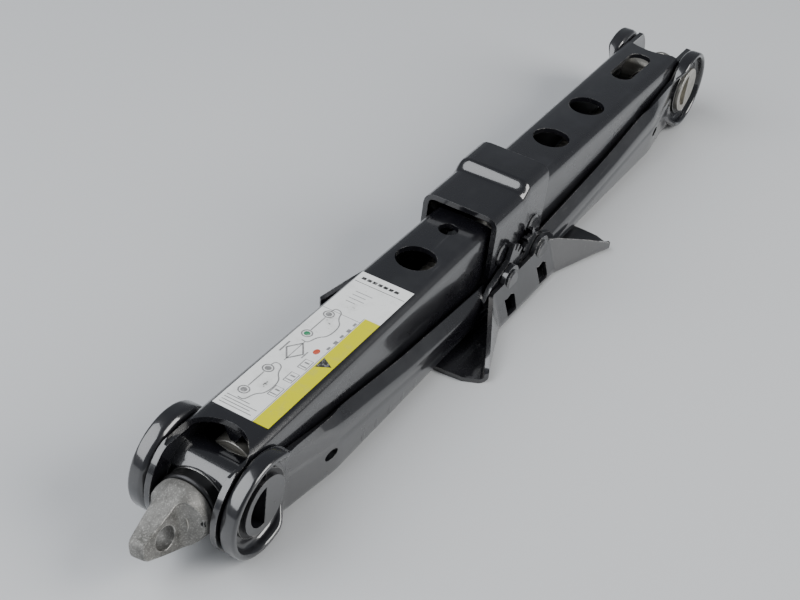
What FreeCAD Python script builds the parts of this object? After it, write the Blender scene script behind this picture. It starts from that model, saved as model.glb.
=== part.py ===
import FreeCAD, Part
import Sketcher
import math
import os
import re

# Scissor jack, folded flat as it is stowed.
# X runs along the screw from the crank end (-X) to the nut end (+X), Z is up and Y is to the left.
# The origin is on the ground under the middle of the foot. Lengths are in millimetres.

# Every driving size is written once, here; the sheet repeats them as aliased cells.
SIZES = {
    # pivots
    "trunnion_offset": 180.0,    # middle of the jack to each trunnion axis
    "trunnion_height": 20.0,     # trunnion axes above the ground
    "pivot_offset": 13.5,        # middle of the jack to each foot and head pivot; also the gear pitch radius
    "pivot_drop": 5.0,           # foot pivots below the trunnions, head pivots above them
    # plate thicknesses and the gaps between nested plates
    "arm_sheet": 2.2,
    "head_sheet": 2.2,
    "foot_sheet": 2.0,
    "plate_gap": 0.3,
    "rivet_room": 1.4,           # between the head's sides and the lower arms' walls
    "pin_clearance": 0.08,
    # upper arms
    "upper_half_width": 14.0,
    "web_height": 39.0,          # top of the upper arms' webs
    "upper_flange_height": 14.0,
    "web_start": 19.0,
    "flange_turn_share": 0.8,    # where the flange starts to drop, as a share of the arm's length
    "flange_join_back": 0.75,    # where the flange meets the ear, in ear radii behind and below its middle
    "flange_join_drop": 0.64,
    # lower arms
    "wall_middle_share": 0.5,    # the two bends of the wall's top edge, as shares of the arm's length
    "wall_outer_share": 0.7,
    "wall_join_back": 0.75,      # where the wall meets the ear, in ear radii behind and above its middle
    "wall_join_rise": 0.6,
    "ear_radius": 19.0,
    "rim_reach": 0.9,            # rim of each lower ear beyond the wall
    "lower_web_start": 24.0,
    "lower_web_end": 158.0,
    "wall_floor_inner": 3.3,     # underside of the lower arms beside the foot
    "wall_floor_outer": 1.3,     # and beside the trunnion
    "wall_top_inner": 17.0,
    "wall_top_middle": 20.5,
    "wall_top_outer": 27.0,
    "tongue_radius": 7.5,
    # gear sectors
    "gear_teeth": 20.0,
    "gear_backlash": 0.25,
    "pressure_angle": 20.0,      # degrees
    "tooth_root_share": 1.25,    # tooth root and tip beyond the pitch circle, in modules
    "tooth_tip_share": 0.9,
    "gear_travel": 58.0,
    # head
    "head_half_length": 22.5,
    "head_low_top": 45.5,
    "head_high_top": 49.0,
    "head_bottom": 17.0,
    "head_step_length": 6.0,
    "head_edge_radius": 3.0,
    # foot
    "foot_side_half": 28.0,
    "foot_side_height": 14.5,
    "foot_corner_x": 60.0,
    "foot_corner_y": 39.0,
    "foot_nose_x": 65.0,
    "foot_nose_y": 27.0,
    "foot_tip_height": 4.5,
    "foot_ear_radius": 6.5,
    "window_offset": 14.5,
    "window_width": 6.0,
    "window_low": 1.6,
    "window_high": 9.4,
    # rivets
    "rivet_radius": 4.0,
    "rivet_head_reach": 0.8,     # a rivet's head beyond its shank
    "rivet_gap": 0.1,            # half the gap kept between the head and foot rivets' heads
    "rivet_inner_head": 0.9,
    "rivet_outer_head": 1.2,
    # trunnions
    "trunnion_radius": 10.8,
    "trunnion_flat": 8.3,        # milled seat beside the screw, from the trunnion axis
    "clip_thick": 1.2,
    "clip_outer_radius": 12.6,
    "clip_gap": 1.5,
    "clip_eyelet_offset": 3.2,
    "clip_eyelet_radius": 2.2,
    "clip_groove_radius": 9.8,
    "trunnion_end": 1.6,         # stepped end beyond the clip groove
    "hollow_depth": 5.0,
    "hollow_wall": 1.8,          # between the hollow and the clip groove
    # screw, lug and thrust bearing
    "screw_radius": 6.0,
    "screw_clearance": 0.1,
    "nut_clearance": 0.3,
    "screw_overrun": 15.0,       # screw beyond the nut's trunnion axis
    "race_thick": 1.5,
    "ball_radius": 1.5,
    "ball_count": 12.0,
    "ball_play": 0.03,
    "cup_wall": 0.8,
    "cup_clearance": 0.3,        # cup inside the upper arm, and races inside the cup
    "lug_shoulder": 5.5,
    "lug_length": 25.0,
    "lug_radius": 11.0,
    "lug_thick": 7.0,
    "lug_tip_width": 6.0,
    "lug_blade_half": 9.0,
    "pin_inset": 0.4,
    "eye_radius": 4.2,
    "eye_setback": 10.5,         # eye centre from the tip
    "lug_turn": 80.0,
    "lug_bore_depth": 7.0,
    "drive_pin_radius": 1.6,
    "collar_radius": 9.5,
    "collar_length": 7.0,
    "collar_pin_radius": 1.5,
    "stop_radius": 7.6,
    "stop_thick": 2.0,
    # openings in the upper arms' webs
    "small_hole_x": 31.0,
    "small_hole_radius": 4.0,
    "large_hole_radius": 8.0,
    "front_hole_x": 56.0,
    "rear_hole_near_x": 60.0,
    "rear_hole_far_x": 96.5,
    "slot_start": 131.0,
    "slot_end": 162.0,
    "slot_half_width": 5.3,
    "front_mouth_x": 186.0,
    "front_mouth_radius": 13.5,
    "rear_mouth_x": 190.0,
    "rear_mouth_radius": 21.5,
    # label
    "label_start": 76.0,
    "label_end": 168.0,
    "label_half_width": 11.0,
    "label_thick": 0.15,
}

# Sizes that follow from the driving ones, as sheet formulas.
DERIVED = {
    "foot_pivot_height": "trunnion_height - pivot_drop",
    "head_pivot_height": "trunnion_height + pivot_drop",
    "upper_inner": "upper_half_width - arm_sheet",
    "head_inner": "upper_half_width + plate_gap",
    "head_outer": "head_inner + head_sheet",
    "ear_inner": "upper_half_width + plate_gap",
    "ear_outer": "ear_inner + arm_sheet",
    "lower_inner": "head_outer + rivet_room",
    "lower_outer": "lower_inner + arm_sheet",
    "rim_outer": "lower_outer + rim_reach",
    "foot_inner": "lower_outer + plate_gap",
    "foot_outer": "foot_inner + foot_sheet",
    "web_underside": "web_height - arm_sheet",
    "trunnion_hole": "trunnion_radius + pin_clearance",
    "seat_half_width": "upper_inner - cup_clearance",
    "cup_radius": "upper_inner - cup_clearance",
    "race_radius": "cup_radius - cup_wall - cup_clearance",
    "ball_circle": "0.5 * (screw_radius + race_radius)",
    "rivet_head_room": "0.5 * (head_pivot_height - foot_pivot_height) - rivet_gap",
    "rivet_head_radius": "min(rivet_radius + rivet_head_reach; rivet_head_room)",
    "hollow_radius": "clip_groove_radius - hollow_wall",
    "rivet_hole": "rivet_radius + pin_clearance",
    "rim_inner_radius": "ear_radius - arm_sheet",
    "clip_start": "ear_outer + plate_gap",
    "clip_end": "clip_start + clip_thick",
    "trunnion_half": "clip_end + trunnion_end",
    "trunnion_bore": "screw_radius + screw_clearance",
    "nut_bore": "screw_radius + nut_clearance",
    "seat_face": "trunnion_offset + trunnion_flat",
    "inner_race_face": "seat_face + race_thick",
    "outer_race_face": "inner_race_face + 2 * (ball_radius + ball_play)",
    "cup_floor": "outer_race_face + race_thick",
    "lug_start": "cup_floor + cup_wall",
    "lug_tip": "lug_start + lug_length",
    "lug_eye_x": "lug_tip - eye_setback",
    "collar_start": "trunnion_offset - trunnion_flat - pin_clearance",
    "spindle_end": "trunnion_offset + screw_overrun",
}

doc = FreeCAD.newDocument("scissor_jack")
sheet = doc.addObject("Spreadsheet::Sheet", "Sizes")
values = {}


def fill_sheet():
    """Writes the sizes into the sheet and reads the worked-out ones back."""
    row = 1
    for name, number in SIZES.items():
        sheet.set("A%d" % row, name)
        sheet.set("B%d" % row, str(number))
        sheet.setAlias("B%d" % row, name)
        row += 1
    for name, formula in DERIVED.items():
        sheet.set("A%d" % row, name)
        sheet.set("B%d" % row, "=" + formula)
        sheet.setAlias("B%d" % row, name)
        row += 1
    doc.recompute()
    for name in list(SIZES) + list(DERIVED):
        values[name] = float(getattr(sheet, name))


def bound(formula):
    """A formula in sheet names, as an expression for another object of the document."""
    return re.sub(r"[a-z][a-z_]*", lambda word: "Sizes." + word.group(0) if word.group(0) in values
                  else word.group(0), formula)


def worked_out(formula):
    """The same formula as a number, for a sketch's first guess and for plain shapes."""
    return float(sheet.evalExpression(formula))


fill_sheet()


def plane_of(body, role):
    """An origin plane or axis of a body, found by its role."""
    return [item for item in body.Origin.OriginFeatures if item.Role == role][0]


def new_body(name):
    return doc.addObject("PartDesign::Body", name)


def new_sketch(body, name, plane, lift="0"):
    """A sketch on an origin plane of its body, raised along the plane's normal by a formula."""
    sketch = body.newObject("Sketcher::SketchObject", name)
    sketch.AttachmentSupport = [(plane_of(body, plane), "")]
    sketch.MapMode = "FlatFace"
    sketch.setExpression("AttachmentOffset.Base.z", bound(lift))
    return sketch


def add_outline(sketch, corners):
    """A closed outline of straight lines; every corner is a pair of formulas, bound to the sheet."""
    points = [FreeCAD.Vector(worked_out(across), worked_out(up), 0) for across, up in corners]
    first = sketch.GeometryCount
    for index, point in enumerate(points):
        following = points[(index + 1) % len(points)]
        sketch.addGeometry(Part.LineSegment(point, following), False)
    for index, (across, up) in enumerate(corners):
        line = first + index
        following = first + (index + 1) % len(corners)
        sketch.addConstraint(Sketcher.Constraint("Coincident", line, 2, following, 1))
        for kind, formula, value in (("DistanceX", across, points[index].x),
                                     ("DistanceY", up, points[index].y)):
            place = sketch.addConstraint(Sketcher.Constraint(kind, -1, 1, line, 1, value))
            sketch.setExpression("Constraints[%d]" % place, bound(formula))


def add_box_outline(sketch, across, up):
    """A rectangle between two across formulas and two up formulas."""
    add_outline(sketch, [(across[0], up[0]), (across[1], up[0]), (across[1], up[1]), (across[0], up[1])])


def add_circle(sketch, across, up, radius):
    """A circle whose centre and radius are formulas."""
    centre = FreeCAD.Vector(worked_out(across), worked_out(up), 0)
    circle = sketch.addGeometry(Part.Circle(centre, FreeCAD.Vector(0, 0, 1), worked_out(radius)), False)
    for kind, formula, value in (("DistanceX", across, centre.x), ("DistanceY", up, centre.y)):
        place = sketch.addConstraint(Sketcher.Constraint(kind, -1, 1, circle, 3, value))
        sketch.setExpression("Constraints[%d]" % place, bound(formula))
    place = sketch.addConstraint(Sketcher.Constraint("Radius", circle, worked_out(radius)))
    sketch.setExpression("Constraints[%d]" % place, bound(radius))


def add_half_disc(sketch, radius):
    """The half of a disc round the origin that lies towards +X of the sketch."""
    size = worked_out(radius)
    disc = Part.Circle(FreeCAD.Vector(0, 0, 0), FreeCAD.Vector(0, 0, 1), size)
    curve = sketch.addGeometry(Part.ArcOfCircle(disc, -0.5 * math.pi, 0.5 * math.pi), False)
    ends = FreeCAD.Vector(0, size, 0), FreeCAD.Vector(0, -size, 0)
    chord = sketch.addGeometry(Part.LineSegment(*ends), False)
    sketch.addConstraint(Sketcher.Constraint("Coincident", curve, 3, -1, 1))
    sketch.addConstraint(Sketcher.Constraint("Coincident", curve, 2, chord, 1))
    sketch.addConstraint(Sketcher.Constraint("Coincident", chord, 2, curve, 1))
    sketch.addConstraint(Sketcher.Constraint("PointOnObject", curve, 2, -2))
    sketch.addConstraint(Sketcher.Constraint("PointOnObject", curve, 1, -2))
    place = sketch.addConstraint(Sketcher.Constraint("Radius", curve, size))
    sketch.setExpression("Constraints[%d]" % place, bound(radius))


def pad(body, sketch, length, both_ways=True):
    feature = body.newObject("PartDesign::Pad", sketch.Name + "Pad")
    feature.Profile = sketch
    if both_ways:
        feature.SideType = "Symmetric"
    feature.setExpression("Length", bound(length))
    doc.recompute()
    return feature


def pocket(body, sketch, length, both_ways=True, reversed_way=False):
    """Cuts a sketch out of the body, and makes sure that it really cut."""
    before = body.Shape.Volume
    feature = body.newObject("PartDesign::Pocket", sketch.Name + "Cut")
    feature.Profile = sketch
    if both_ways:
        feature.SideType = "Symmetric"
    feature.Reversed = reversed_way
    feature.setExpression("Length", bound(length))
    doc.recompute()
    if body.Shape.Volume > before - 1e-3:
        raise RuntimeError("%s cuts nothing" % feature.Name)
    return feature


def turn(body, sketch, axis):
    feature = body.newObject("PartDesign::Revolution", sketch.Name + "Turned")
    feature.Profile = sketch
    feature.ReferenceAxis = axis
    feature.Angle = 360
    doc.recompute()
    return feature


def turned_piece(name, outline):
    """A piece turned about the X axis from an outline of (along, radius) formulas."""
    body = new_body(name)
    sketch = new_sketch(body, name + "Outline", "XY_Plane")
    add_outline(sketch, outline)
    turn(body, sketch, (plane_of(body, "X_Axis"), [""]))
    return body


def place_at(piece, x="0", y="0", z="0", axis=None, angle="0"):
    """Places an object by formulas."""
    if axis is not None:
        piece.Placement = FreeCAD.Placement(FreeCAD.Vector(), FreeCAD.Rotation(axis, 1.0))
        piece.setExpression("Placement.Rotation.Angle", bound(angle))
    piece.setExpression("Placement.Base.x", bound(x))
    piece.setExpression("Placement.Base.y", bound(y))
    piece.setExpression("Placement.Base.z", bound(z))


def mirrored(name, source, normal):
    """A mirror image through the origin."""
    copy = doc.addObject("Part::Mirroring", name)
    copy.Source = source
    copy.Base = FreeCAD.Vector(0, 0, 0)
    copy.Normal = normal
    return copy


def group(name, pieces):
    together = doc.addObject("Part::Compound", name)
    together.Links = pieces
    return together


def four_corners(name, piece):
    """The piece and its mirror images across the XZ and YZ planes."""
    pair = group(name + "Pair", [piece, mirrored(name + "Other", piece, FreeCAD.Vector(0, 1, 0))])
    return group(name, [pair, mirrored(name + "Far", pair, FreeCAD.Vector(1, 0, 0))])


def two_sides(name, piece):
    """The piece and its mirror image across the XZ plane."""
    return group(name, [piece, mirrored(name + "Other", piece, FreeCAD.Vector(0, 1, 0))])


def fused(name, pieces):
    whole = doc.addObject("Part::MultiFuse", name)
    whole.Shapes = pieces
    return whole


def cut_from(name, base, tool):
    rest = doc.addObject("Part::Cut", name)
    rest.Base = base
    rest.Tool = tool
    return rest


def on_side(side, formula):
    """An X formula for the front (-1) or the rear (+1) of the jack."""
    return "%d * (%s)" % (side, formula)


# Gear sectors. The arms mesh with each other at the middle plane, so each sector's pitch
# radius is the pivot offset. The teeth are involutes.

def tooth_flank(pitch_radius, module, backlash):
    """Half-angle of a tooth, in radians, at some radii from the root to the tip."""
    pressure = math.radians(values["pressure_angle"])
    base_radius = pitch_radius * math.cos(pressure)
    half_at_pitch = math.pi / (2 * pitch_radius * 2 / module) - backlash / (2 * pitch_radius)
    involute = math.tan(pressure) - pressure
    root_radius = pitch_radius - values["tooth_root_share"] * module
    tip_radius = pitch_radius + values["tooth_tip_share"] * module
    steps = 5
    flank = []
    for step in range(steps + 1):
        radius = root_radius + (tip_radius - root_radius) * step / steps
        reach = max(radius, base_radius)
        spread = math.acos(base_radius / reach)
        flank.append((radius, half_at_pitch + involute - (math.tan(spread) - spread)))
    return flank


def gear_plate(side, pivot_height, rise, inner, outer, odd):
    """The toothed end of one arm: rise is +1 if the teeth run upwards from the mesh, -1 if down."""
    pitch_radius = values["pivot_offset"]
    teeth = int(values["gear_teeth"])
    module = 2 * pitch_radius / teeth
    pitch_angle = 2 * math.pi / teeth
    flank = tooth_flank(pitch_radius, module, values["gear_backlash"])
    centre = FreeCAD.Vector(side * pitch_radius, 0, pivot_height)
    start = 0.0 if odd else 0.5
    count = int(math.ceil(math.radians(values["gear_travel"]) / pitch_angle - start)) + 1
    hub_radius = values["rivet_radius"] + 2.0

    def spot(radius, angle):
        """Angle 0 points at the other arm, and grows in the direction of rise."""
        return FreeCAD.Vector(centre.x - side * radius * math.cos(angle), 0,
                              centre.z + rise * radius * math.sin(angle))

    points = [spot(hub_radius, (start + count - 1) * pitch_angle + 0.25)]
    points.append(spot(hub_radius, start * pitch_angle))
    for tooth in range(count):
        middle = (start + tooth) * pitch_angle
        points += [spot(radius, middle - half) for radius, half in flank]
        points += [spot(radius, middle + half) for radius, half in reversed(flank)]
    wire = Part.makePolygon(points + points[:1])
    plate = Part.Face(wire).extrude(FreeCAD.Vector(0, outer - inner, 0))
    left = plate.translated(FreeCAD.Vector(0, inner, 0))
    right = plate.translated(FreeCAD.Vector(0, -outer, 0))
    return Part.makeCompound([left, right])


def plain_shape(name, shape):
    feature = doc.addObject("Part::Feature", name)
    feature.Shape = shape
    return feature


# Lower arms: channels open upwards, whose ends are shallow pans round the trunnions.

def lower_arm(name, side, odd):
    body = new_body(name + "Channel")
    wall = new_sketch(body, name + "Wall", "XZ_Plane")
    ear_join = "trunnion_offset - wall_join_back * ear_radius"
    ear_join_top = "trunnion_height + wall_join_rise * ear_radius"
    add_outline(wall, [
        (on_side(side, "pivot_offset"), "foot_pivot_height - tongue_radius"),
        (on_side(side, "lower_web_start"), "wall_floor_inner"),
        (on_side(side, ear_join), "wall_floor_outer"),
        (on_side(side, ear_join), ear_join_top),
        (on_side(side, "wall_outer_share * trunnion_offset"), "wall_top_outer"),
        (on_side(side, "wall_middle_share * trunnion_offset"), "wall_top_middle"),
        (on_side(side, "2 * pivot_offset"), "wall_top_inner"),
        (on_side(side, "pivot_offset"), "foot_pivot_height + tongue_radius"),
    ])
    pad(body, wall, "2 * lower_outer")
    tongue = new_sketch(body, name + "Tongue", "XZ_Plane")
    add_circle(tongue, on_side(side, "pivot_offset"), "foot_pivot_height", "tongue_radius")
    pad(body, tongue, "2 * lower_outer")
    cavity = new_sketch(body, name + "Cavity", "XZ_Plane")
    beyond = "trunnion_offset + 2 * ear_radius"
    add_outline(cavity, [
        (on_side(side, "-2"), "-5"),
        (on_side(side, "lower_web_start"), "-5"),
        (on_side(side, "lower_web_start"), "wall_floor_inner + arm_sheet"),
        (on_side(side, "lower_web_end"), "wall_floor_outer + arm_sheet"),
        (on_side(side, "lower_web_end"), "-5"),
        (on_side(side, beyond), "-5"),
        (on_side(side, beyond), "3 * trunnion_height"),
        (on_side(side, "-2"), "3 * trunnion_height"),
    ])
    pocket(body, cavity, "2 * lower_inner")
    clearing = new_sketch(body, name + "Clearing", "XZ_Plane")
    add_circle(clearing, on_side(side, "trunnion_offset"), "trunnion_height", "rim_inner_radius")
    pocket(body, clearing, "4 * lower_outer")
    pan = new_sketch(body, name + "Pan", "XY_Plane", "trunnion_height")
    for hand in (1, -1):
        add_outline(pan, [
            (on_side(side, "trunnion_offset + " + radius), "%d * (%s)" % (hand, reach))
            for radius, reach in (
                ("trunnion_hole", "ear_inner"),
                ("ear_radius", "ear_inner"),
                ("ear_radius", "rim_outer"),
                ("rim_inner_radius", "rim_outer"),
                ("rim_inner_radius", "ear_outer"),
                ("trunnion_hole", "ear_outer"))])
    axis = pan.addGeometry(Part.LineSegment(FreeCAD.Vector(side * values["trunnion_offset"], -1, 0),
                                            FreeCAD.Vector(side * values["trunnion_offset"], 1, 0)), True)
    for end, up in ((1, "-1"), (2, "1")):
        for kind, formula in (("DistanceX", on_side(side, "trunnion_offset")), ("DistanceY", up)):
            place = pan.addConstraint(Sketcher.Constraint(kind, -1, 1, axis, end, worked_out(formula)))
            pan.setExpression("Constraints[%d]" % place, bound(formula))
    turn(body, pan, (pan, ["Axis0"]))
    pivot = new_sketch(body, name + "Pivot", "XZ_Plane")
    add_circle(pivot, on_side(side, "pivot_offset"), "foot_pivot_height", "rivet_hole")
    pocket(body, pivot, "4 * lower_outer")
    teeth = plain_shape(name + "Teeth", gear_plate(side, values["foot_pivot_height"], 1,
                                                   values["lower_inner"], values["lower_outer"], odd))
    return fused(name, [body, teeth])


# Upper arms: channels open downwards that nest between the lower arms' walls.

def upper_arm(name, side, odd, holes, slot, mouth_x, mouth_radius):
    body = new_body(name + "Channel")
    wall = new_sketch(body, name + "Wall", "XZ_Plane")
    ear_join = "trunnion_offset - flange_join_back * ear_radius"
    ear_join_low = "trunnion_height - flange_join_drop * ear_radius"
    add_outline(wall, [
        (on_side(side, "pivot_offset"), "head_pivot_height - tongue_radius"),
        (on_side(side, "2 * pivot_offset"), "upper_flange_height"),
        (on_side(side, "flange_turn_share * trunnion_offset"), "upper_flange_height"),
        (on_side(side, ear_join), ear_join_low),
        (on_side(side, "trunnion_offset"), ear_join_low),
        (on_side(side, "trunnion_offset"), "web_height"),
        (on_side(side, "web_start"), "web_height"),
        (on_side(side, "pivot_offset"), "head_pivot_height + tongue_radius"),
    ])
    pad(body, wall, "2 * upper_half_width")
    rounds = new_sketch(body, name + "Rounds", "XZ_Plane")
    add_circle(rounds, on_side(side, "pivot_offset"), "head_pivot_height", "tongue_radius")
    add_circle(rounds, on_side(side, "trunnion_offset"), "trunnion_height", "web_height - trunnion_height")
    pad(body, rounds, "2 * upper_half_width")
    cavity = new_sketch(body, name + "Cavity", "XZ_Plane")
    beyond = "trunnion_offset + 2 * ear_radius"
    add_outline(cavity, [
        (on_side(side, "-2"), "-5"),
        (on_side(side, beyond), "-5"),
        (on_side(side, beyond), "3 * trunnion_height"),
        (on_side(side, "trunnion_offset"), "3 * trunnion_height"),
        (on_side(side, "trunnion_offset"), "web_underside"),
        (on_side(side, "web_start"), "web_underside"),
        (on_side(side, "web_start"), "3 * trunnion_height"),
        (on_side(side, "-2"), "3 * trunnion_height"),
    ])
    pocket(body, cavity, "2 * upper_inner")
    openings = new_sketch(body, name + "Openings", "XY_Plane", "web_underside - 0.5 * arm_sheet")
    add_circle(openings, on_side(side, mouth_x), "0", mouth_radius)
    for hole_x, hole_radius in holes:
        add_circle(openings, on_side(side, hole_x), "0", hole_radius)
    if slot:
        add_box_outline(openings, [on_side(side, "slot_start"), on_side(side, "slot_end")],
                        ["-1 * slot_half_width", "slot_half_width"])
    pocket(body, openings, "2 * arm_sheet", both_ways=False, reversed_way=True)
    pivots = new_sketch(body, name + "Pivots", "XZ_Plane")
    add_circle(pivots, on_side(side, "pivot_offset"), "head_pivot_height", "rivet_hole")
    add_circle(pivots, on_side(side, "trunnion_offset"), "trunnion_height", "trunnion_hole")
    pocket(body, pivots, "4 * upper_half_width")
    teeth = plain_shape(name + "Teeth", gear_plate(side, values["head_pivot_height"], -1,
                                                   values["upper_inner"], values["upper_half_width"], odd))
    return fused(name, [body, teeth])


# Head: a folded saddle over the inner ends of the upper arms, low in front and raised behind.

def head_saddle():
    body = new_body("head_saddle")
    side = new_sketch(body, "HeadSide", "XZ_Plane")
    add_outline(side, [
        ("-1 * head_half_length", "head_bottom"),
        ("head_half_length", "head_bottom"),
        ("head_half_length", "head_high_top"),
        ("head_step_length", "head_high_top"),
        ("0", "head_low_top"),
        ("-1 * head_half_length", "head_low_top"),
    ])
    pad(body, side, "2 * head_outer")
    inside = new_sketch(body, "HeadInside", "XZ_Plane")
    add_outline(inside, [
        ("-2 * head_half_length", "-5"),
        ("2 * head_half_length", "-5"),
        ("2 * head_half_length", "head_high_top - head_sheet"),
        ("head_step_length + 0.5 * head_sheet", "head_high_top - head_sheet"),
        ("0.5 * head_sheet", "head_low_top - head_sheet"),
        ("-2 * head_half_length", "head_low_top - head_sheet"),
    ])
    pocket(body, inside, "2 * head_inner")
    holes = new_sketch(body, "HeadHoles", "XZ_Plane")
    for hand in (-1, 1):
        add_circle(holes, on_side(hand, "pivot_offset"), "head_pivot_height", "rivet_radius")
    holes_cut = pocket(body, holes, "4 * head_outer")
    edges = ["Edge%d" % (index + 1) for index, edge in enumerate(body.Shape.Edges)
             if min(vertex.Z for vertex in edge.Vertexes) > values["head_low_top"] - 0.01
             and min(abs(vertex.Y) for vertex in edge.Vertexes) > values["head_outer"] - 0.01
             and abs(edge.Vertexes[0].X - edge.Vertexes[-1].X) > 0.01]
    edge_round = body.newObject("PartDesign::Fillet", "HeadEdges")
    edge_round.Base = (holes_cut, edges)
    edge_round.setExpression("Radius", bound("head_edge_radius"))
    doc.recompute()
    return body


# Foot: a tray with two upright sides that carry the lower arms, splayed at both ends.

def foot_plan(body, name, lift, corners):
    """A plan of the tray from the corners of one quarter, in order from the middle outwards."""
    plan = new_sketch(body, name, "XY_Plane", lift)
    outline = list(corners)
    outline += [(along, "-1 * (%s)" % across) for along, across in reversed(corners)]
    outline += [("-1 * (%s)" % along, "-1 * (%s)" % across) for along, across in corners]
    outline += [("-1 * (%s)" % along, across) for along, across in reversed(corners)]
    add_outline(plan, outline)
    return plan


def base_foot():
    body = new_body("base_foot")
    plan = foot_plan(body, "FootPlan", "0", [
        ("foot_side_half", "foot_outer"), ("foot_corner_x", "foot_corner_y"), ("foot_nose_x", "foot_nose_y")])
    pad(body, plan, "foot_side_height", both_ways=False)
    sky = new_sketch(body, "FootSlope", "XZ_Plane")
    over = "2 * foot_side_height"
    for hand in (-1, 1):
        add_outline(sky, [
            (on_side(hand, "foot_side_half"), "foot_side_height"),
            (on_side(hand, "foot_corner_x"), "foot_tip_height"),
            (on_side(hand, "foot_corner_x + 0.5"), "foot_sheet"),
            (on_side(hand, "foot_nose_x + 10"), "foot_sheet"),
            (on_side(hand, "foot_nose_x + 10"), over),
            (on_side(hand, "foot_side_half"), over),
        ])
    pocket(body, sky, "4 * foot_corner_y")
    ears = new_sketch(body, "FootEars", "XZ_Plane")
    for hand in (-1, 1):
        add_circle(ears, on_side(hand, "pivot_offset"), "foot_pivot_height", "foot_ear_radius")
    pad(body, ears, "2 * foot_outer")
    inside = foot_plan(body, "FootInside", "foot_sheet", [
        ("foot_side_half", "foot_inner"), ("foot_corner_x", "foot_corner_y - foot_sheet"),
        ("foot_corner_x + foot_nose_x", "foot_corner_y - foot_sheet")])
    pocket(body, inside, "3 * foot_side_height", both_ways=False, reversed_way=True)
    holes = new_sketch(body, "FootHoles", "XZ_Plane")
    for hand in (-1, 1):
        add_circle(holes, on_side(hand, "pivot_offset"), "foot_pivot_height", "rivet_radius")
        add_box_outline(holes, [on_side(hand, "window_offset - 0.5 * window_width"),
                                on_side(hand, "window_offset + 0.5 * window_width")],
                        ["window_low", "window_high"])
    pocket(body, holes, "4 * foot_outer")
    return body


def rivet(name, start, end, inner_head, outer_head, height):
    """One stub rivet: a head inside, a shank through two plates and a head outside."""
    piece = turned_piece(name, [
        (start + " - " + inner_head, "0"),
        (end + " + " + outer_head, "0"),
        (end + " + " + outer_head, "0.8 * rivet_head_radius"),
        (end + " + 0.5 * " + outer_head, "rivet_head_radius"),
        (end, "rivet_head_radius"),
        (end, "rivet_radius"),
        (start, "rivet_radius"),
        (start, "rivet_head_radius"),
        (start + " - " + inner_head, "rivet_head_radius"),
    ])
    place_at(piece, x="pivot_offset", z=height, axis=FreeCAD.Vector(0, 0, 1), angle="90")
    return piece


# Trunnions: cross bars that the two arms of an end turn on, drilled for the screw.

def trunnion(name, side, bore, flats):
    """A turned bar with clip grooves, lying across the jack; half of each end is hollow."""
    half = [
        ("0", "trunnion_radius"),
        ("clip_start", "trunnion_radius"),
        ("clip_start", "clip_groove_radius"),
        ("clip_end", "clip_groove_radius"),
        ("clip_end", "trunnion_radius"),
        ("trunnion_half", "trunnion_radius"),
        ("trunnion_half", "0"),
    ]
    other = [("-1 * (%s)" % along, radius) for along, radius in reversed(half[1:])]
    body = turned_piece(name, half + other)
    hole = new_sketch(body, name + "Bore", "XZ_Plane")
    add_circle(hole, "0", "0", bore)
    pocket(body, hole, "4 * trunnion_radius")
    for hand in (-1, 1):
        hollow = new_sketch(body, name + "Hollow%d" % (hand + 1), "YZ_Plane",
                            on_side(hand, "trunnion_half - hollow_depth"))
        add_half_disc(hollow, "hollow_radius")
        pocket(body, hollow, "2 * hollow_depth", both_ways=False, reversed_way=hand > 0)
    if flats:
        seats = new_sketch(body, name + "Seats", "XY_Plane")
        for hand in (-1, 1):
            add_box_outline(seats, ["-1 * seat_half_width", "seat_half_width"],
                            [on_side(hand, "trunnion_flat"), on_side(hand, "2 * trunnion_radius")])
        pocket(body, seats, "4 * trunnion_radius")
    place_at(body, x=on_side(side, "trunnion_offset"), z="trunnion_height",
             axis=FreeCAD.Vector(0, 0, 1), angle="90")
    return body


def circlips(name, side):
    """Two retaining rings with a gap at the top and an eyelet on each side of it."""
    ring = new_body(name + "Ring")
    outline = new_sketch(ring, name + "Outline", "XZ_Plane", "clip_start")
    add_circle(outline, "0", "0", "clip_outer_radius")
    pad(ring, outline, "clip_thick", both_ways=False)
    for hand in (-1, 1):
        eyelet = new_sketch(ring, name + "Eyelet%d" % (hand + 1), "XZ_Plane", "clip_start")
        add_circle(eyelet, on_side(hand, "clip_eyelet_offset"), "clip_outer_radius", "clip_eyelet_radius")
        pad(ring, eyelet, "clip_thick", both_ways=False)
    inside = new_sketch(ring, name + "Inside", "XZ_Plane")
    add_circle(inside, "0", "0", "clip_groove_radius")
    pocket(ring, inside, "4 * trunnion_half")
    gap = new_sketch(ring, name + "Gap", "XZ_Plane")
    add_box_outline(gap, ["-1 * clip_gap", "clip_gap"], ["0", "2 * clip_outer_radius"])
    pocket(ring, gap, "4 * trunnion_half")
    place_at(ring, x=on_side(side, "trunnion_offset"), z="trunnion_height")
    return two_sides(name, ring)


# The screw line: everything here is drawn at the height of the screw and measured from the middle
# of the jack; the crank end is at -X, so the distances along are mirrored there.

def screw_piece(name, outline, end=-1):
    """A piece turned about the screw, from (distance from the middle, radius) formulas."""
    piece = turned_piece(name, [(on_side(end, along), radius) for along, radius in outline])
    place_at(piece, z="trunnion_height")
    return piece


def ring_outline(start, finish, inner, outer):
    return [(start, inner), (finish, inner), (finish, outer), (start, outer)]


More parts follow.
